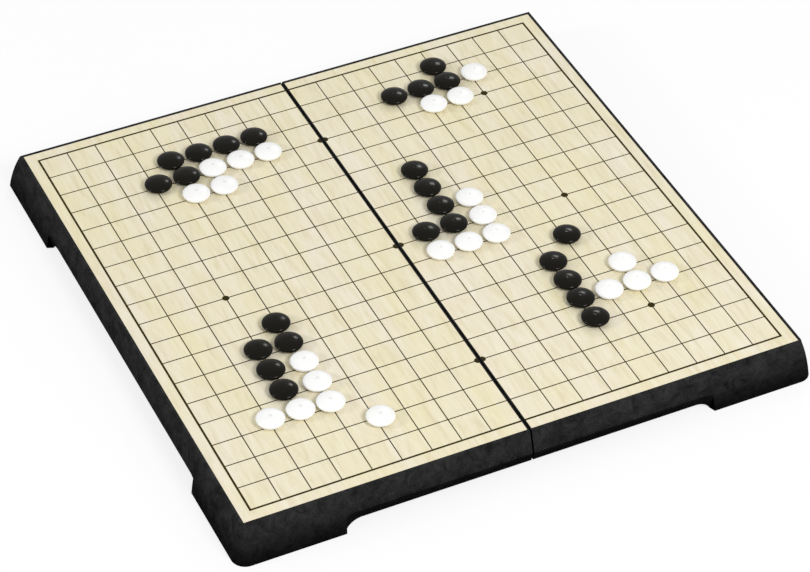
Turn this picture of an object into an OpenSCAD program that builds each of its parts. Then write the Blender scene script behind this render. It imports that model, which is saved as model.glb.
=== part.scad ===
// Folding magnetic go board with a game in play.
// Two half cases meet at a seam and fold underside to underside on two-pin links below it.
// Each half has a steel-backed playing sheet on top and a stone bay with a sliding cover underneath.
// Millimetres, +Z up. X runs across the seam, Y along it, and the feet stand on z = 0.

/* [Playing grid] */
// Spacing of the grid lines
pitch = 14.5; // [14.2:0.1:16]
// Bare margin from the outermost line to the edge of the playing sheet
sheet_margin = 5.8; // [5:0.1:9]

/* [Case] */
// Width of the rim round the playing sheets
rim_w = 1.45; // [1.2:0.05:3]
// Height of the rim above the table
case_h = 20.4; // [18:0.1:26]
// How far the walls stand out at the table, beyond the rim
flare = 5.1; // [3:0.1:7]
// Outward bow of the walls at half their height
wall_bow = 0.6; // [0.3:0.05:1.2]
// Thickness of the outer walls
wall = 3.2; // [2.6:0.1:3.6]
// Thickness of the deck under a playing face
deck = 2; // [1.5:0.1:3]
// Radius of the front corners in plan, at the table (the back corners are mitred)
corner_r = 6.8; // [5.5:0.1:9]

/* [Seam] */
// Gap between the half cases
seam_gap = 0.8; // [0.3:0.05:1.2]
// Width of the rim along the seam
seam_rim = 0.65; // [0.5:0.05:1.5]
// Thickness of the wall along the seam
seam_wall = 1.8; // [1.4:0.1:2.4]

/* [Feet] */
// Length of a corner foot along its wall
foot_len = 51.8; // [44:0.2:54]
// Height of the bevel under a raised edge
bevel_h = 5.1; // [2:0.1:6]
// Thickness that the bevel leaves at a raised edge
edge_t = 1; // [0.6:0.1:1.4]
// How far the bevel runs back along the end of a foot
end_bevel = 1.2; // [0.6:0.1:3]
// Corner radius of the notch between two feet, at the face of the wall
notch_r = 6; // [5:0.1:8]
// Corner radius of the notch at the lower edge of its bevel
bevel_r = 8.3; // [7:0.1:10]

/* [Playing faces] */
// Thickness of a steel plate
plate_t = 0.5; // [0.3:0.1:1]
// Thickness of a printed sheet
sheet_t = 0.3; // [0.2:0.05:0.6]
// Height of the rim above the sheets
rim_lip = 0.1; // [0:0.05:0.4]
// Clearance round a plate and its sheet
sheet_fit = 0.1; // [0.05:0.05:0.3]

/* [Hinge] */
// Radius of a link's eyes
eye_r = 3.2; // [2.6:0.1:3.8]
// Height of the links above the table
link_lift = 1.8; // [1.2:0.1:2.4]
// Width of a link along the seam
link_w = 12; // [8:0.5:20]
// Distance of each link from the middle of the seam
link_y = 90; // [60:1:110]
// Diameter of the hinge pins
pin_d = 2; // [1.5:0.1:2.4]
// Radial clearance of a pin in its ears
pin_play = 0.05; // [0.02:0.01:0.1]
// Thickness of a hinge ear
ear_t = 3; // [2:0.1:5]
// Clearance round a link in its slot
link_play = 0.3; // [0.2:0.05:0.6]
// Gap between the feet of the folded halves
fold_gap = 0.3; // [0.2:0.05:0.6]

/* [Stone bays] */
// Distance of a bay from the seam
bay_x = 13.5; // [13:0.5:20]
// Width of a bay
bay_w = 69; // [50:0.5:70]
// Thickness of a bay's side walls
bay_wall = 2.4; // [2:0.1:3.5]
// Depth of the cover grooves in those walls
groove = 1.2; // [0.8:0.1:1.5]
// Height of the rails above the table
rail_lift = 0.5; // [0.3:0.1:1]
// Thickness of the rail under a cover
rail_t = 1; // [0.8:0.1:1.6]
// Solid rail behind a cover, where it stops
rail_stop = 1.5; // [1:0.1:4]
// Thickness of a cover
cover_t = 1.6; // [1.2:0.1:2]
// Clearance round a cover in its grooves
cover_play = 0.3; // [0.2:0.05:0.5]
// Clearance of a cover under the raised edge
edge_clear = 1.1; // [0.8:0.1:1.4]
// Width of the thumb ribs on a cover
thumb_w = 24; // [16:1:36]
// Height of the thumb ribs
thumb_h = 0.8; // [0.4:0.1:1]

/* [Magnets] */
// Diameter of a closing magnet
clasp_d = 8; // [6:0.5:12]
// Thickness of a closing magnet
clasp_t = 3; // [2:0.5:5]
// Wall of the boss round a closing magnet
boss_wall = 1.6; // [1.2:0.1:3]
// Diameter of a stone's magnet
magnet_d = 5; // [4:0.1:5.6]
// Thickness of a stone's magnet
magnet_t = 1.8; // [1:0.1:2.2]
// Glue gap round a stone's magnet
glue = 0.05; // [0.03:0.01:0.1]

/* [Stones] */
// Diameter of a stone
stone_d = 13.3; // [11:0.1:13.4]
// Height of a stone
stone_h = 4.5; // [4:0.1:5.5]
// Height at which a stone is widest
waist_h = 2.5; // [2:0.1:3]
// Diameter of a stone's flat base
base_d = 7; // [6.6:0.1:9]
// Diameter of the dimple on top of a stone
gate_d = 2; // [1:0.1:3]
// Depth of that dimple
gate_t = 0.15; // [0.1:0.05:0.4]
// Gap between a stone and the sheet
stone_gap = 0.02; // [0.01:0.01:0.1]

/* [Hidden] */
// Lines each way on the board
grid_lines = 19;
// Overlap that joins the pieces of one moulding
merge = 0.2;
// Reach of a cut past the surface that it opens
past = 1;
// Thickness of the slices that a blended cut is drawn between
slice = 0.01;
// Half sizes of the sheet, the rim and the walls at the table
sheet_half = pitch * (grid_lines - 1) / 2 + sheet_margin;
rim_half = sheet_half + rim_w;
foot_half = rim_half + flare;
notch_half = foot_half - foot_len;
// Arc of the bowed walls, from the rim down to the table
chord = norm([flare, case_h]);
bow_r = (chord * chord / 4 + wall_bow * wall_bow) / (2 * wall_bow);
bow_reach = (bow_r - wall_bow) / chord;
bow_x = (rim_half + foot_half) / 2 - bow_reach * case_h;
bow_z = case_h / 2 - bow_reach * flare;
function wall_out(z) = bow_x + sqrt(bow_r * bow_r - (z - bow_z) * (z - bow_z));
// Heights of the playing face and of the deck under it
face_z = case_h - rim_lip;
deck_top = face_z - sheet_t - plate_t;
deck_z = deck_top - deck;
seam_x = seam_gap / 2;
seam_in = seam_x + seam_wall;
sheet_x = seam_x + seam_rim;
// Heights of a cover, and of the raised edges that it slides under
cover_z = rail_lift + rail_t + cover_play;
edge_h = cover_z + cover_t + edge_clear;
// Bevel of the raised edges, which runs on past the walls
bevel_in = wall_out(edge_h) - wall + edge_t;
bevel_out = foot_half + past;
bevel_grow = (bevel_out - bevel_in) / (wall_out(edge_h + bevel_h) - bevel_in);
bevel_out_r = bevel_r + bevel_grow * (notch_r - bevel_r);
bevel_half = notch_half - end_bevel;
bevel_out_half = bevel_half + end_bevel * (bevel_out - bevel_in) / (foot_half - bevel_in);
// Hinge axes, one in each half
axis_z = link_lift + eye_r;
axis_x = axis_z + fold_gap / 2;
slot_w = link_w + 2 * link_play;
pin_len = slot_w + 2 * ear_t;
// Rails and covers along the seam
rail_half = rim_half - wall;
cover_back = rail_half - rail_stop - cover_play;
cover_front = rail_half - cover_play;
bay_end = bay_x + bay_w;
thumb_ribs = 5;
thumb_step = 2.4;
thumb_t = 1.2;
thumb_inset = 6;
// Closing magnets, in the middle of the outer feet
clasp_at = foot_half - foot_len / 2;
// Steps in each quarter of a stone's outline
stone_steps = 10;

// Stones of each fight as [slip, points]: grid points from the middle of the board, and how far
// the hand left the stones of that fight off their points, all in grid steps
BLACK = [
    [[-0.1, -0.03], [[-2, 7], [-3, 7], [-4, 7], [-5, 7]]],
    [[0.08, 0.01], [[-5, 6], [-6, 6]]],
    [[0, -0.09], [[5, 8]]],
    [[0.09, -0.03], [[5, 7], [4, 7], [3, 7]]],
    [[0.03, 0.09], [[2, 3], [2, 2], [2, 1], [2, 0], [1, 0]]],
    [[0.1, 0.04], [[5, -2], [4, -3], [4, -4]]],
    [[0.08, 0.1], [[4, -5], [4, -6]]],
    [[-0.12, 0.1], [[-5, -2], [-5, -3]]],
    [[-0.12, 0.19], [[-6, -3], [-6, -4], [-6, -5]]]
];
WHITE = [
    [[0.03, 0.04], [[-2, 6], [-3, 6], [-4, 6], [-4, 5], [-5, 5]]],
    [[0.14, 0.03], [[6, 7], [5, 6], [4, 6]]],
    [[0.07, 0.06], [[3, 1], [3, 0], [3, -1], [2, -1], [1, -1]]],
    [[0.09, 0.08], [[6, -4], [7, -5], [6, -5], [5, -5]]],
    [[-0.03, 0.1], [[-5, -4], [-5, -5], [-5, -6]]],
    [[0, 0.18], [[-6, -6], [-7, -6]]],
    [[0.08, -0.13], [[-4, -7]]]
];
function places(fights) = [for (fight = fights) for (point = fight[1]) pitch * (point + fight[0])];
black_at = places(BLACK);
white_at = places(WHITE);
function stone_name(colour, i) = str(colour, "_stone_", i < 9 ? "0" : "", i + 1);

$fn = 64;

// Outline of a bowed wall and what lies behind it, from the middle of the board out
module wall_outline(inset, low, high) {
    intersection() {
        translate([0, low]) square([foot_half + past, high - low]);
        union() {
            translate([0, low]) square([bow_x, high - low]);
            translate([bow_x, bow_z]) circle(bow_r - inset, $fn = 180);
        }
    }
}

// Front corner of the right half, turned from the same bowed outline as the walls
module front_corner(inset, low, high) {
    corner_at = foot_half - inset - corner_r;
    translate([corner_at, -corner_at, 0]) rotate(-90) rotate_extrude(angle = 90) intersection() {
        translate([-corner_at, 0]) wall_outline(inset, low, high);
        translate([0, low]) square([foot_half + past - corner_at, high - low]);
    }
}

// Right half of the case as a solid, with its outer faces drawn in by inset
module half_block(inset, near, low, high) {
    corner_at = foot_half - inset - corner_r;
    difference() {
        intersection() {
            translate([0, foot_half + past, 0]) rotate([90, 0, 0])
                linear_extrude(2 * (foot_half + past)) wall_outline(inset, low, high);
            translate([near, 0, 0]) rotate([90, 0, 90]) linear_extrude(foot_half + past - near) {
                wall_outline(inset, low, high);
                mirror([1, 0, 0]) wall_outline(inset, low, high);
            }
        }
        translate([corner_at, -foot_half - past, low - past])
            cube([foot_half, foot_half + past - corner_at, high - low + 2 * past]);
    }
    front_corner(inset, low, high);
}

// Opening between two feet, seen square to its wall. A corner wider than the opening is high
// still starts at the table, at the end of its foot
module notch_outline(half, h, r) {
    reach = r > h ? sqrt(2 * r * h - h * h) : r;
    low = max(h - r, 0);
    translate([-half, -past]) square([2 * half, low + past]);
    translate([reach - half, -past]) square([2 * (half - reach), h + past]);
    for (side = [-1, 1]) intersection() {
        translate([side * (half - reach), h - r]) circle(r, $fn = 60);
        translate([-half, low]) square([2 * half, h - low]);
    }
}

// Cut that raises the front wall between its feet, bevelled along its edge and both ends
module notch() {
    rotate([90, 0, 0]) {
        translate([0, 0, bevel_in - wall]) linear_extrude(wall + slice)
            notch_outline(bevel_half, edge_h, bevel_r);
        hull() {
            translate([0, 0, bevel_in]) linear_extrude(slice) notch_outline(bevel_half, edge_h, bevel_r);
            translate([0, 0, bevel_out]) linear_extrude(slice)
                notch_outline(bevel_out_half, edge_h + bevel_grow * bevel_h, bevel_out_r);
        }
    }
}

// Outer walls, seam wall and deck of the right half
module half_walls() {
    difference() {
        half_block(0, seam_x, 0, case_h);
        half_block(wall, seam_in, -past, deck_z);
        translate([0, -bevel_in, -past]) cube([seam_in, 2 * bevel_in, edge_h + past]);
        translate([sheet_x - sheet_fit, -sheet_half - sheet_fit, deck_top])
            cube([sheet_half - sheet_x + 2 * sheet_fit, 2 * (sheet_half + sheet_fit), case_h]);
    }
}

// Wall on one side of a stone bay, with the groove that a cover slides in
module bay_side(near, groove_near) {
    difference() {
        union() {
            translate([near, -rail_half, rail_lift])
                cube([bay_wall, 2 * rail_half, deck_z + merge - rail_lift]);
            intersection() {
                translate([near, -foot_half, edge_h])
                    cube([bay_wall, 2 * foot_half, deck_z + merge - edge_h]);
                half_block(wall / 2, seam_x, edge_h, case_h);
            }
        }
        translate([groove_near, -rail_half - past, cover_z - cover_play])
            cube([groove, rail_half + past + cover_back + cover_play, cover_t + 2 * cover_play]);
    }
}

// The two ears beside one hinge link
module hinge_ears() {
    for (side = [-1, 1])
        translate([0, side * (slot_w + ear_t) / 2, 0]) rotate([90, 0, 0])
            linear_extrude(ear_t, center = true) {
                translate([axis_x, axis_z]) circle(eye_r);
                translate([seam_in - merge, axis_z])
                    square([axis_x + eye_r - seam_in + merge, deck_z + merge - axis_z]);
            }
}

// Right half case: walls, bay sides, hinge ears and magnet bosses in one moulding
module half_shell() {
    difference() {
        union() {
            half_walls();
            bay_side(bay_x - bay_wall, bay_x - groove);
            bay_side(bay_end, bay_end);
            for (side = [-1, 1]) {
                translate([0, side * link_y, 0]) hinge_ears();
                translate([clasp_at, side * clasp_at, rail_lift])
                    cylinder(h = deck_z + merge - rail_lift, d = clasp_d + 2 * boss_wall);
            }
        }
        for (turn = [0, 90, 180]) rotate(turn) notch();
        for (side = [-1, 1]) {
            translate([0, side * link_y - slot_w / 2, 0])
                cube([seam_in, slot_w, axis_z + eye_r + link_play]);
            translate([axis_x, side * link_y, axis_z]) rotate([90, 0, 0])
                cylinder(h = pin_len + past, d = pin_d + 2 * pin_play, center = true);
            translate([clasp_at, side * clasp_at, rail_lift - past])
                cylinder(h = clasp_t + past, d = clasp_d);
        }
    }
}

module half_plate() {
    translate([sheet_x, -sheet_half, deck_top]) cube([sheet_half - sheet_x, 2 * sheet_half, plate_t]);
}

module half_sheet() {
    translate([sheet_x, -sheet_half, deck_top + plate_t])
        cube([sheet_half - sheet_x, 2 * sheet_half, sheet_t]);
}

// Sliding cover of the right bay, with thumb ribs under its front end
module half_cover() {
    reach = groove - cover_play;
    thumb_x = bay_x + (bay_w - thumb_w) / 2;
    translate([bay_x - reach, -cover_front, cover_z])
        cube([bay_w + 2 * reach, cover_front + cover_back, cover_t]);
    for (i = [0:thumb_ribs - 1])
        translate([thumb_x, thumb_inset + i * thumb_step - cover_front, cover_z - thumb_h])
            cube([thumb_w, thumb_t, thumb_h + merge]);
}

module half_closing_magnets() {
    for (side = [-1, 1]) translate([clasp_at, side * clasp_at, rail_lift]) cylinder(h = clasp_t, d = clasp_d);
}

module left_shell() {
    color([0.1, 0.1, 0.1]) mirror([1, 0, 0]) half_shell();
}

module right_shell() {
    color([0.1, 0.1, 0.1]) half_shell();
}

module left_steel_plate() {
    color([0.62, 0.63, 0.65]) mirror([1, 0, 0]) half_plate();
}

module right_steel_plate() {
    color([0.62, 0.63, 0.65]) half_plate();
}

module left_playing_sheet() {
    color([0.92, 0.88, 0.76]) mirror([1, 0, 0]) half_sheet();
}

module right_playing_sheet() {
    color([0.92, 0.88, 0.76]) half_sheet();
}

module left_bay_cover() {
    color([0.15, 0.15, 0.15]) mirror([1, 0, 0]) half_cover();
}

module right_bay_cover() {
    color([0.15, 0.15, 0.15]) half_cover();
}

// Dog-bone links across the seam, one pin in each eye
module hinge_links() {
    color([0.2, 0.2, 0.2])
    for (place = [-link_y, link_y]) translate([0, place, 0]) rotate([90, 0, 0])
        linear_extrude(link_w, center = true) difference() {
            union() {
                translate([-axis_x, link_lift]) square([2 * axis_x, 2 * eye_r]);
                for (side = [-1, 1]) translate([side * axis_x, axis_z]) circle(eye_r);
            }
            for (side = [-1, 1]) translate([side * axis_x, axis_z]) circle(d = pin_d);
        }
}

module hinge_pins() {
    color([0.75, 0.76, 0.78])
    for (place = [-link_y, link_y], side = [-1, 1])
        translate([side * axis_x, place, axis_z]) rotate([90, 0, 0])
            cylinder(h = pin_len, d = pin_d, center = true);
}

module left_closing_magnets() {
    color([0.4, 0.4, 0.42]) mirror([1, 0, 0]) half_closing_magnets();
}

module right_closing_magnets() {
    color([0.4, 0.4, 0.42]) half_closing_magnets();
}

// Half outline of a stone: a dome over the waist, and under it a deeper ellipse cut flat at the base
module stone_outline() {
    under_h = waist_h / sqrt(1 - pow(base_d / stone_d, 2));
    base_turn = asin(waist_h / under_h);
    shares = [for (i = [1:stone_steps]) i / stone_steps];
    under = [for (s = shares) base_turn * (1 - s)];
    polygon(concat(
        [[0, 0], [base_d / 2, 0]],
        [for (t = under) [stone_d / 2 * cos(t), waist_h - under_h * sin(t)]],
        [for (s = shares) [stone_d / 2 * cos(90 * s), waist_h + (stone_h - waist_h) * sin(90 * s)]]
    ));
}

// A stone on the playing face, and the magnet in its base
module stone(place, shade) {
    color(shade) translate([place[0], place[1], face_z + stone_gap]) {
        difference() {
            rotate_extrude() stone_outline();
            translate([0, 0, stone_h - gate_t]) cylinder(h = past, d = gate_d);
            translate([0, 0, -past]) cylinder(h = magnet_t + glue + past, d = magnet_d + 2 * glue);
        }
        cylinder(h = magnet_t, d = magnet_d);
    }
}

module black_stone(i) {
    stone(black_at[i], [0.06, 0.06, 0.06]);
}

module white_stone(i) {
    stone(white_at[i], [0.97, 0.97, 0.96]);
}

left_shell();
right_shell();
left_steel_plate();
right_steel_plate();
left_playing_sheet();
right_playing_sheet();
left_bay_cover();
right_bay_cover();
hinge_links();
hinge_pins();
left_closing_magnets();
right_closing_magnets();
for (i = [0:len(black_at) - 1])
    black_stone(i);
for (i = [0:len(white_at) - 1])
    white_stone(i);
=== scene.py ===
"""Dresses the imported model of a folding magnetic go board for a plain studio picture.

Metres, in the model's own frame: X runs across the seam, Y along it, +Z is up, and the feet stand
on z = 0. The cases, sheets, covers and hinge keep their solids and get finishes; the printed grid
is added, and smooth turned stones stand for the faceted ones.
"""
import math

import bmesh
import bpy
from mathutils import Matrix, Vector


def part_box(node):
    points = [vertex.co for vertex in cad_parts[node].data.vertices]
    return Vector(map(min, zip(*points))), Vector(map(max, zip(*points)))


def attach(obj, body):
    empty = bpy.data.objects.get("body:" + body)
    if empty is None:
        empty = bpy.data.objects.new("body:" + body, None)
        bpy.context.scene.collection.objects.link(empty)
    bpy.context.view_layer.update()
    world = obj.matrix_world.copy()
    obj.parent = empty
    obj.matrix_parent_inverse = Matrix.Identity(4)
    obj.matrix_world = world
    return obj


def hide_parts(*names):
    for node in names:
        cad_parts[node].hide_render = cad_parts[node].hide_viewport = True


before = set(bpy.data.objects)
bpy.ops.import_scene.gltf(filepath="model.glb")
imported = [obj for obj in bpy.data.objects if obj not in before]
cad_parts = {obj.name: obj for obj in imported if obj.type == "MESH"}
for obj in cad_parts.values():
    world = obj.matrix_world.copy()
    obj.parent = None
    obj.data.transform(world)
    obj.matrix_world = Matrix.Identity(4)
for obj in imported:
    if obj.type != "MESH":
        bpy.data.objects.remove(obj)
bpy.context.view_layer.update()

MM = 0.001

# Printed grid, as on the sheets
COLUMN_STEP = 14.408 * MM
ROW_STEP = 14.5 * MM
ROW_SHIFT = 0.14 * MM
OUTER_LINE = 9
COLUMN_W = 0.53 * MM
ROW_W = 0.58 * MM
BORDER_W = 1.04 * MM
STAR_R = 1.72 * MM
STAR_SIDES = 32
STAR_COLUMNS = (0, 6)
STAR_ROWS = (-6, 0, 6)
INK_LIFT = 0.010 * MM
STAR_LIFT = 0.014 * MM

# Case: its height, how far out its outer walls start, and how far along a wall its notches can reach, which
# place its painted shade
CASE_H = 20.4 * MM
WALL_AT = 135 * MM
NOTCH_REACH = 128 * MM

# Painted shade by height: share of the plastic's tone that is left at each share of the case's height,
# darker towards the table and a little lighter near the top
PAINTED_SHADE_BY_HEIGHT = (
    (0.0, 0.18),
    (0.20, 0.29),
    (0.35, 0.46),
    (0.50, 0.70),
    (0.65, 0.86),
    (0.84, 1.04),
    (1.0, 1.02),
)

# Tones of the black covers and links, and of the steel pieces
COVER_TONE = 0.016
LINK_TONE = 0.014
PLATE_TONE = (0.56, 0.57, 0.58)
PIN_TONE = (0.62, 0.62, 0.61)

# Turned outline of a stone, with the gate mark on its top and the magnet in its base
STONE_H = 4.5 * MM
BASE_R = 3.5 * MM
WAIST_Z = 2.5 * MM
GATE_R = 1.1 * MM
GATE_FLAT_R = 0.5 * MM
GATE_T = 0.06 * MM
MAGNET_R = 2.5 * MM
MAGNET_T = 1.8 * MM
MAGNET_EDGE = 0.1 * MM
MAGNET_GAP = 0.05 * MM
STONE_SIDES = 64
ARC_STEPS = 14
GATE_STEPS = 6
SHARP_TURN = math.radians(38)

# Plastic of the stones: its darkest and lightest tone, range of roughness, and specular level
STONE_LOOKS = {
    "black_stone": {
        "name": "black_plastic",
        "dark": (0.0040, 0.0034, 0.0016),
        "light": (0.0060, 0.0052, 0.0028),
        "gloss": (0.14, 0.19),
        "level": 0.095,
    },
    "white_stone": {
        "name": "white_plastic",
        "dark": (0.915, 0.915, 0.900),
        "light": (0.945, 0.945, 0.935),
        "gloss": (0.26, 0.34),
        "level": 0.45,
    },
}

# Floor: half its width, how far it lies below the feet, how white it is where it is seen, and the
# share of its tone that lights the board from below
FLOOR_HALF = 4.0
FLOOR_DROP = 0.05 * MM
FLOOR_WHITE = 0.80
FLOOR_BOUNCE = 0.45

# How far out the floor under the board keeps its whole shadow, and where it is white again
UNDER_BOARD = (134 * MM, 135.5 * MM)

# How deep the floor feels for a folded half, and how free it is there when it is clear and when closed
FLOOR_PROBE = 0.2
FLOOR_FREE = (0.94, 0.985)

# Studio light: the room's level, the point that the lamps face, and each lamp's place, size and power
ROOM_LEVEL = 0.55
LAMP_AIM = Vector((0, 0, 0.02))
LAMPS = {
    "back_light": ((0.77, 1.06, 0.93), 0.20, 2.0),
    "left_light": ((-1.30, 0.20, 0.66), 0.22, 4.4),
    "front_light": ((0.28, -1.14, 1.09), 0.43, 12.6),
}

# View of the photograph: turn and rise of the camera round the point that it looks at
VIEW_TURN = math.radians(-25.0851)
VIEW_RISE = math.radians(41.4046)
VIEW_AIM = Vector((-9.27, -27.12, 20.3)) * MM
VIEW_DISTANCE = 1.49269
LENS_MM = 143.68
SENSOR_MM = 36.0


class Finish:
    """A material: its shader, and short calls for the texture nodes behind it."""

    def __init__(self, name, **constants):
        self.material = bpy.data.materials.new(name)
        self.material.use_nodes = True
        self.tree = self.material.node_tree
        self.shader = self.tree.nodes["Principled BSDF"]
        for socket, value in constants.items():
            self.shader.inputs[socket.replace("_", " ")].default_value = value

    def add(self, kind, inputs=None, **settings):
        """A node; each input is a plain value or the output that feeds it."""
        made = self.tree.nodes.new("ShaderNode" + kind)
        for name, value in settings.items():
            setattr(made, name, value)
        for key, value in (inputs or {}).items():
            self.feed(made.inputs[key], value)
        return made

    def feed(self, socket, value):
        if isinstance(value, bpy.types.NodeSocket):
            self.tree.links.new(value, socket)
        else:
            socket.default_value = value

    def place(self, stretch=(1, 1, 1), shuffle=False):
        """Points of the piece in metres, stretched; shuffled, each piece has its own part of a pattern."""
        point = self.add("TexCoord").outputs["Object"]
        if shuffle:
            lot = self.add("ObjectInfo").outputs["Random"]
            point = self.add("VectorMath", {0: point, 1: lot}, operation="ADD").outputs["Vector"]
        return self.add("Mapping", {"Vector": point, "Scale": stretch}).outputs["Vector"]

    def noise(self, at, scale=1.0, detail=4.0, roughness=0.55, warp=0.0):
        inputs = {"Vector": at, "Scale": scale, "Detail": detail, "Roughness": roughness, "Distortion": warp}
        return self.add("TexNoise", inputs).outputs["Fac"]

    def pebbles(self, at, scale):
        inputs = {"Vector": at, "Scale": scale, "Smoothness": 0.6}
        return self.add("TexVoronoi", inputs, feature="SMOOTH_F1").outputs["Distance"]

    def part(self, vector, axis):
        return self.add("SeparateXYZ", {"Vector": vector}).outputs[axis]

    def size(self, value):
        return self.add("Math", {0: value}, operation="ABSOLUTE").outputs[0]

    def larger(self, first, second):
        return self.add("Math", {0: first, 1: second}, operation="MAXIMUM").outputs[0]

    def product(self, first, second):
        return self.add("Math", {0: first, 1: second}, operation="MULTIPLY").outputs[0]

    def total(self, first, second, share):
        """The first value and a share of the second."""
        return self.add("Math", {0: second, 1: share, 2: first}, operation="MULTIPLY_ADD").outputs[0]

    def ramp(self, factor, *stops):
        """Colour along a factor, from stops of (position, colour)."""
        made = self.add("ValToRGB", {"Fac": factor})
        points = made.color_ramp.elements
        while len(points) < len(stops):
            points.new(0.5)
        for point, (position, colour) in zip(points, stops):
            point.position = position
            point.color = (*colour, 1)
        return made.outputs["Color"]

    def spread(self, factor, low, high, start=0.3, end=0.7):
        """A factor between start and end, spread from low to high."""
        inputs = {"Value": factor, "From Min": start, "From Max": end, "To Min": low, "To Max": high}
        return self.add("MapRange", inputs).outputs["Result"]

    def blend(self, factor, colour, other, how="MIX"):
        made = self.add("Mix", {0: factor, 6: colour, 7: other}, data_type="RGBA", blend_type=how)
        return made.outputs[2]

    def tinted(self, colour, tint):
        return self.blend(1.0, colour, tint, "MULTIPLY")

    def soft_edges(self, radius):
        """Normals that round the edges of a hard solid."""
        return self.add("Bevel", {"Radius": radius}, samples=4).outputs["Normal"]

    def bump(self, height, depth, strength=1.0, normal=None):
        inputs = {"Height": height, "Distance": depth, "Strength": strength}
        if normal is not None:
            inputs["Normal"] = normal
        return self.add("Bump", inputs).outputs["Normal"]

    def finish(self, colour, roughness, normal):
        for socket, value in (("Base Color", colour), ("Roughness", roughness), ("Normal", normal)):
            self.feed(self.shader.inputs[socket], value)
        return self.material


def grey(level):
    return (level, level, level)


def case_finish():
    """Black plastic with a moulded leather grain, with painted shade low on the feet, under its edges and
    round the notches.
    """
    made = Finish("case_plastic", Specular_IOR_Level=0.005)
    at = made.place()
    clouds = made.noise(at, scale=170, detail=5, roughness=0.65, warp=0.8)
    specks = made.noise(at, scale=1500, detail=3, roughness=0.7)
    grain = made.total(made.pebbles(at, scale=900), made.noise(at, scale=2600, detail=3), share=0.35)
    plain = made.ramp(clouds, (0.32, (0.0118, 0.0119, 0.0119)), (0.70, (0.0371, 0.0372, 0.0369)))
    plain = made.tinted(plain, made.ramp(specks, (0.34, grey(0.72)), (0.66, grey(1.28))))
    relief = made.bump(grain, depth=0.18 * MM, strength=0.8, normal=made.soft_edges(0.35 * MM))
    return made.finish(case_painted_shade(made, at, plain), made.spread(clouds, low=0.80, high=0.60), relief)


def case_painted_shade(made, at, plain):
    """The plain tone of the case with painted shade: darker low down, under edges and on the end faces of
    its notches; flat undersides keep the plain tone.
    """
    normal = made.add("TexCoord").outputs["Normal"]
    upward = made.part(normal, "Z")
    height = made.spread(made.part(at, "Z"), low=0.0, high=1.0, start=0.0, end=CASE_H)
    # Painted shade: darker towards the table, by height
    colour = made.tinted(plain, made.ramp(height, *((stop, grey(tone)) for stop, tone in PAINTED_SHADE_BY_HEIGHT)))
    # Painted shade on edges and faces that turn downwards
    colour = made.tinted(colour, made.spread(upward, low=0.06, high=1.0, start=-0.30, end=-0.05))
    # Painted shade on the end faces of the notches in the outer walls
    for along, across in (("X", "Y"), ("Y", "X")):
        far_out = made.size(made.part(at, across))
        in_wall = made.spread(far_out, low=0.0, high=1.0, start=WALL_AT, end=WALL_AT + MM)
        far_along = made.size(made.part(at, along))
        in_notch = made.spread(far_along, low=1.0, high=0.0, start=NOTCH_REACH, end=NOTCH_REACH + MM)
        facing = made.size(made.part(normal, along))
        painted_end_shade = made.spread(facing, low=1.0, high=0.10, start=0.25, end=0.60)
        colour = made.blend(made.product(in_wall, in_notch), colour, painted_end_shade, "MULTIPLY")
    # Flat undersides keep the plain tone, without the painted shade
    underside = made.spread(upward, low=1.0, high=0.0, start=-0.95, end=-0.85)
    return made.blend(underside, colour, plain)


def satin_finish(name, tone):
    """Black plastic with a fine satin texture, for the covers and the hinge links."""
    made = Finish(name, Specular_IOR_Level=0.12)
    at = made.place()
    clouds = made.noise(at, scale=90, detail=5)
    fine = made.noise(at, scale=3200, detail=3)
    colour = made.ramp(clouds, (0.3, grey(tone * 0.8)), (0.7, grey(tone * 1.25)))
    relief = made.bump(fine, depth=0.04 * MM, strength=0.5, normal=made.soft_edges(0.25 * MM))
    return made.finish(colour, made.spread(clouds, low=0.36, high=0.50), relief)


def sheet_finish():
    """Pale printed wood: soft streaks along the seam, with faint pink and green patches."""
    made = Finish("wood_print", Specular_IOR_Level=0.25)
    streaks = made.noise(made.place((380, 52, 52)), detail=3, roughness=0.55, warp=0.7)
    pores = made.noise(made.place((1900, 70, 70)), detail=3)
    patches = made.noise(made.place((70, 16, 16)), detail=2)
    wood = made.ramp(
        streaks,
        (0.30, (0.748, 0.676, 0.466)),
        (0.46, (0.808, 0.739, 0.537)),
        (0.56, (0.822, 0.757, 0.560)),
        (0.72, (0.850, 0.792, 0.608)),
    )
    wood = made.tinted(wood, made.ramp(patches, (0.32, (0.985, 0.980, 0.915)), (0.68, (1.0, 1.0, 1.075))))
    wood = made.tinted(wood, made.ramp(pores, (0.30, (0.955, 0.948, 0.925)), (0.46, grey(1.0))))
    relief = made.bump(pores, depth=0.012 * MM, strength=0.4)
    return made.finish(wood, made.spread(streaks, low=0.62, high=0.50), relief)


def ink_finish():
    """Dark olive-brown ink, a little uneven."""
    made = Finish("grid_ink", Specular_IOR_Level=0.05)
    cover = made.noise(made.place(), scale=520, detail=4)
    colour = made.ramp(cover, (0.3, (0.022, 0.016, 0.001)), (0.7, (0.042, 0.032, 0.004)))
    relief = made.bump(cover, depth=0.004 * MM, strength=0.3)
    return made.finish(colour, made.spread(cover, low=0.50, high=0.66), relief)


def stone_finish(name, dark, light, gloss, level):
    """Glossy moulded plastic with faint flow clouds, and painted shade of the gate mark's dimple: a little
    greyer on top.
    """
    made = Finish(name, Specular_IOR_Level=level)
    at = made.place(shuffle=True)
    clouds = made.noise(at, scale=260, detail=4, warp=0.6)
    peel = made.noise(at, scale=900, detail=2)
    colour = made.ramp(clouds, (0.3, dark), (0.7, light))
    out = made.add("VectorMath", {0: made.place((1, 1, 0))}, operation="LENGTH").outputs["Value"]
    # Painted shade of the gate mark's dimple: greyer towards the middle of the top
    colour = made.tinted(colour, made.spread(out, low=0.85, high=1.0, start=GATE_FLAT_R, end=GATE_R))
    relief = made.bump(peel, depth=0.02 * MM, strength=0.10)
    return made.finish(colour, made.spread(clouds, *gloss), relief)


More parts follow.
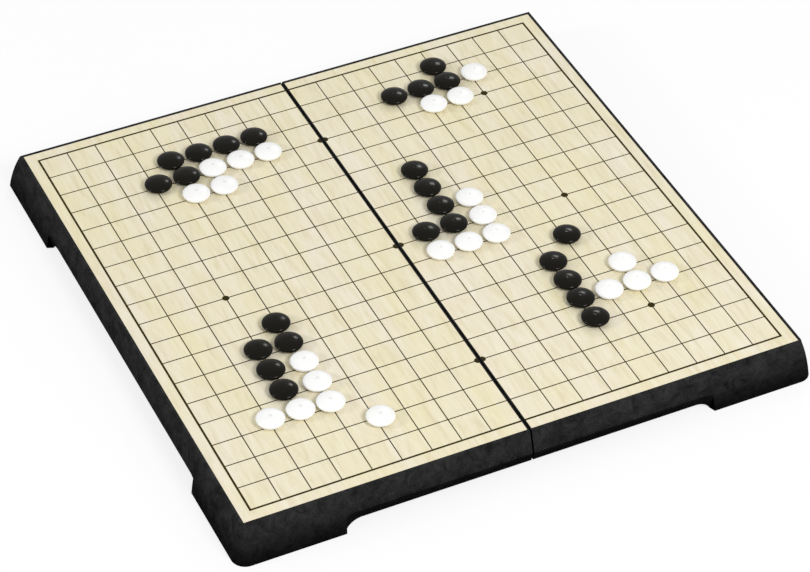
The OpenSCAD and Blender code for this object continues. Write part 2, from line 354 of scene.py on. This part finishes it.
def metal_finish(name, tone, stretch, gloss):
    """Bare metal, brushed along the axis that is stretched least."""
    made = Finish(name, Metallic=1.0)
    brushed = made.noise(made.place(stretch), detail=4)
    blotches = made.noise(made.place(), scale=60, detail=4)
    dark = tuple(0.82 * channel for channel in tone)
    relief = made.bump(brushed, depth=0.01 * MM, strength=0.3)
    return made.finish(made.ramp(blotches, (0.3, dark), (0.7, tone)), made.spread(brushed, *gloss), relief)


def magnet_finish():
    """Dull ferrite with a sintered texture."""
    made = Finish("ferrite", Metallic=0.35)
    sinter = made.noise(made.place(), scale=1800, detail=4)
    colour = made.ramp(sinter, (0.3, grey(0.035)), (0.7, grey(0.075)))
    relief = made.bump(sinter, depth=0.03 * MM, strength=0.5)
    return made.finish(colour, made.spread(sinter, low=0.45, high=0.62), relief)


def put(name, data):
    """A new object in the scene."""
    thing = bpy.data.objects.new(name, data)
    bpy.context.scene.collection.objects.link(thing)
    return thing


def line_width(k, inner_width):
    return BORDER_W if abs(k) == OUTER_LINE else inner_width


def line_cuts(low, lines):
    """Cuts across printed lines, given as (middle, width), as (start, end, is a line).

    The first cut is the blank from low to the first line, or that line itself where low is None.
    """
    cuts = []
    for middle, width in lines:
        start = middle - width / 2
        if low is not None:
            cuts.append((low, start, False))
        low = start + width
        cuts.append((start, low, True))
    return cuts


def grid_print(side, body, ink):
    """Lines and star points of one half, as a thin film on its sheet; side is -1 or 1."""
    low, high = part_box(body.replace("half", "playing_sheet"))
    inner = min(abs(low.x), abs(high.x))
    columns = [(inner + k * COLUMN_STEP, line_width(k, COLUMN_W)) for k in range(1, OUTER_LINE + 1)]
    rows = [(ROW_SHIFT + k * ROW_STEP, line_width(k, ROW_W)) for k in range(-OUTER_LINE, OUTER_LINE + 1)]
    film = bmesh.new()
    add_lines(film, side, line_cuts(inner, columns), line_cuts(None, rows), high.z + INK_LIFT)
    for column in STAR_COLUMNS:
        for row in STAR_ROWS:
            add_star(film, side, column, row, inner, high.z + STAR_LIFT)
    bmesh.ops.recalc_face_normals(film, faces=film.faces)
    for face in film.faces:
        if face.normal.z < 0:
            face.normal_flip()
    name = body.replace("half", "grid_print")
    mesh = bpy.data.meshes.new(name)
    film.to_mesh(mesh)
    film.free()
    mesh.materials.append(ink)
    piece = put(name, mesh)
    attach(piece, body)


def add_lines(film, side, across, along, z):
    """The printed lines, as the cells of the cuts across and along that lie on a line."""
    corners = {}

    def corner(x, y):
        if (x, y) not in corners:
            corners[x, y] = film.verts.new((side * x, y, z))
        return corners[x, y]

    for x0, x1, is_line in across:
        for y0, y1, is_cross_line in along:
            if is_line or is_cross_line:
                film.faces.new([corner(x0, y0), corner(x1, y0), corner(x1, y1), corner(x0, y1)])


def add_star(film, side, column, row, inner, z):
    """A star point, or the half of one that this sheet carries where it is cut by the seam."""
    middle = Vector((inner + column * COLUMN_STEP, ROW_SHIFT + row * ROW_STEP, z))
    quarter = STAR_SIDES // 4
    first, last = (-quarter, quarter + 1) if column == 0 else (0, STAR_SIDES)
    rim = []
    for k in range(first, last):
        turn = 2 * math.pi * k / STAR_SIDES
        spot = middle + Vector((math.cos(turn), math.sin(turn), 0)) * STAR_R
        rim.append(film.verts.new((side * spot.x, spot.y, spot.z)))
    film.faces.new(rim)


def dome_height(spot, radius):
    return WAIST_Z + (STONE_H - WAIST_Z) * math.sqrt(1 - (spot / radius) ** 2)


def stone_outline(radius):
    """Half outline of a stone from its base up to the middle of its top, as (radius, height)."""
    under = WAIST_Z / math.sqrt(1 - (BASE_R / radius) ** 2)
    base_turn = math.asin(WAIST_Z / under)
    outline = []
    for k in range(ARC_STEPS + 1):
        turn = base_turn * (1 - k / ARC_STEPS)
        outline.append((radius * math.cos(turn), WAIST_Z - under * math.sin(turn)))
    for k in range(1, 2 * ARC_STEPS):
        spot = radius * math.cos(math.pi / 2 * k / (2 * ARC_STEPS))
        if spot > GATE_R:
            outline.append((spot, dome_height(spot, radius)))
    for k in range(GATE_STEPS, -1, -1):
        spot = GATE_R * k / GATE_STEPS
        dish = GATE_T * (1 + math.cos(math.pi * k / GATE_STEPS)) / 2
        outline.append((spot, dome_height(spot, radius) - dish))
    return outline


def turned(mesh, outline):
    """Adds a turned surface to a mesh, closed where its outline meets the axis."""
    turns = [2 * math.pi * k / STONE_SIDES for k in range(STONE_SIDES)]
    rings = []
    for radius, z in outline:
        if radius == 0:
            rings.append([mesh.verts.new((0, 0, z))])
        else:
            rings.append([mesh.verts.new((radius * math.cos(t), radius * math.sin(t), z)) for t in turns])
    faces = []
    for lower, upper in zip(rings, rings[1:]):
        for k in range(STONE_SIDES):
            after = (k + 1) % STONE_SIDES
            if len(lower) == 1:
                corners = [lower[0], upper[after], upper[k]]
            elif len(upper) == 1:
                corners = [lower[k], lower[after], upper[0]]
            else:
                corners = [lower[k], lower[after], upper[after], upper[k]]
            faces.append(mesh.faces.new(corners))
    return faces


def stone_mesh(name, radius, plastic, ferrite):
    """A stone with the socket and the magnet in its base."""
    shape = bmesh.new()
    socket_r = MAGNET_R + MAGNET_GAP
    socket = [(0, MAGNET_T + MAGNET_GAP), (socket_r, MAGNET_T + MAGNET_GAP), (socket_r, 0)]
    magnet = [
        (0, 0),
        (MAGNET_R - MAGNET_EDGE, 0),
        (MAGNET_R, MAGNET_EDGE),
        (MAGNET_R, MAGNET_T),
        (0, MAGNET_T),
    ]
    turned(shape, socket + stone_outline(radius))
    for face in turned(shape, magnet):
        face.material_index = 1
    for face in shape.faces:
        face.smooth = True
    mesh = bpy.data.meshes.new(name)
    shape.to_mesh(mesh)
    shape.free()
    mesh.materials.append(plastic)
    mesh.materials.append(ferrite)
    mesh.set_sharp_from_angle(angle=SHARP_TURN)
    return mesh


def turned_stone(node, plastic, ferrite):
    """The smooth stone that stands for a stone's solid, in its place."""
    low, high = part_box(node)
    name = "turned_" + node
    piece = put(name, stone_mesh(name, (high.x - low.x) / 2, plastic, ferrite))
    piece.location = ((low.x + high.x) / 2, (low.y + high.y) / 2, low.z)
    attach(piece, node)
    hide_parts(node)


def turned_stones(ferrite):
    """A smooth stone for every stone's solid, black or white by the first part of its name."""
    plastics = {kind: stone_finish(**look) for kind, look in STONE_LOOKS.items()}
    for node in sorted(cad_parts):
        kind = node.rpartition("_")[0]
        if kind in plastics:
            turned_stone(node, plastics[kind], ferrite)


def dress_solids(finishes):
    """Gives every solid that shows its finish, by the ending of its name."""
    for ending, finish in finishes.items():
        for name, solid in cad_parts.items():
            if name.endswith(ending):
                solid.data.materials.clear()
                solid.data.materials.append(finish)


def softbox(name, place, size, power):
    """A square soft light that faces the board."""
    lamp = bpy.data.lights.new(name, "AREA")
    lamp.shape = "SQUARE"
    lamp.size = size
    lamp.energy = power
    light = put(name, lamp)
    light.location = place
    light.rotation_euler = (LAMP_AIM - Vector(place)).to_track_quat("-Z", "Y").to_euler()


def seen_directly(tree):
    """1 for what the camera sees straight on, in a mirror or through glass, else 0."""
    path = tree.nodes.new("ShaderNodeLightPath")
    total = path.outputs["Is Camera Ray"]
    for ray in ("Is Glossy Ray", "Is Transmission Ray"):
        most = tree.nodes.new("ShaderNodeMath")
        most.operation = "MAXIMUM"
        tree.links.new(total, most.inputs[0])
        tree.links.new(path.outputs[ray], most.inputs[1])
        total = most.outputs[0]
    return total


def studio_world():
    """An even white room, white where it is seen."""
    world = bpy.data.worlds.new("studio")
    bpy.context.scene.world = world
    world.use_nodes = True
    tree = world.node_tree
    level = tree.nodes.new("ShaderNodeMapRange")
    level.inputs["To Min"].default_value = ROOM_LEVEL
    level.inputs["To Max"].default_value = 1.0
    tree.links.new(seen_directly(tree), level.inputs["Value"])
    room = tree.nodes["Background"]
    room.inputs["Color"].default_value = (1, 1, 1, 1)
    tree.links.new(level.outputs["Result"], room.inputs["Strength"])


def floor_finish():
    """Pale floor that keeps a soft shadow, and opens where the board is folded down past it.

    What is seen of it is white, apart from the shadow right under the board; what lights the board
    from below is only a share of that, the bounce.
    """
    made = Finish("pale_floor", Specular_IOR_Level=0.0)
    at = made.place()
    mottle = made.noise(at, scale=9, detail=4)
    pale = made.ramp(mottle, (0.3, grey(0.98)), (0.7, grey(1.0)))
    dull = made.ramp(mottle, (0.3, grey(0.90 * FLOOR_BOUNCE)), (0.7, grey(0.93 * FLOOR_BOUNCE)))
    seen = seen_directly(made.tree)
    relief = made.bump(mottle, depth=0.1 * MM, strength=0.1)
    made.finish(made.blend(seen, dull, pale), made.spread(mottle, low=0.8, high=0.9), relief)
    white = made.add("Emission", {"Color": (1, 1, 1, 1), "Strength": 1.0}).outputs[0]
    beside = made.spread(made.size(made.part(at, "X")), 0.0, FLOOR_WHITE, *UNDER_BOARD)
    before = made.spread(made.size(made.part(at, "Y")), 0.0, FLOOR_WHITE, *UNDER_BOARD)
    lift = made.product(seen, made.larger(beside, before))
    lit = made.add("MixShader", {0: lift, 1: made.shader.outputs[0], 2: white}).outputs[0]
    probe = made.add("AmbientOcclusion", {"Distance": FLOOR_PROBE}, inside=True, samples=32)
    closed = made.spread(probe.outputs["AO"], 0.0, 1.0, *FLOOR_FREE)
    clear = made.add("BsdfTransparent").outputs[0]
    surface = made.add("MixShader", {0: closed, 1: clear, 2: lit}).outputs[0]
    made.tree.links.new(surface, made.tree.nodes["Material Output"].inputs["Surface"])
    return made.material


def floor():
    """The studio floor, just under the feet."""
    corners = [(-1, -1), (1, -1), (1, 1), (-1, 1)]
    points = [(x * FLOOR_HALF, y * FLOOR_HALF, -FLOOR_DROP) for x, y in corners]
    mesh = bpy.data.meshes.new("studio_floor")
    mesh.from_pydata(points, [], [(0, 1, 2, 3)])
    mesh.materials.append(floor_finish())
    stage = put("studio_floor", mesh)


def camera():
    """The photograph's view."""
    level = math.cos(VIEW_RISE)
    away = Vector((math.sin(VIEW_TURN) * level, -math.cos(VIEW_TURN) * level, math.sin(VIEW_RISE)))
    data = bpy.data.cameras.new("photo_view")
    data.sensor_width = SENSOR_MM
    data.lens = LENS_MM
    view = put("photo_view", data)
    view.location = VIEW_AIM + away * VIEW_DISTANCE
    view.rotation_euler = (-away).to_track_quat("-Z", "Y").to_euler()
    bpy.context.scene.camera = view


ferrite = magnet_finish()
dress_solids({
    "_shell": case_finish(),
    "_playing_sheet": sheet_finish(),
    "_steel_plate": metal_finish("plate_steel", PLATE_TONE, stretch=(40, 2200, 2200), gloss=(0.28, 0.42)),
    "_bay_cover": satin_finish("satin_plastic", COVER_TONE),
    "hinge_links": satin_finish("link_plastic", LINK_TONE),
    "hinge_pins": metal_finish("pin_steel", PIN_TONE, stretch=(2400, 2400, 2400), gloss=(0.18, 0.30)),
    "_closing_magnets": ferrite,
})

ink = ink_finish()
grid_print(-1, "left_half", ink)
grid_print(1, "right_half", ink)
turned_stones(ferrite)

studio_world()
floor()
for name, (place, size, power) in LAMPS.items():
    softbox(name, place, size, power)
camera()
bpy.context.scene.view_settings.view_transform = "Standard"
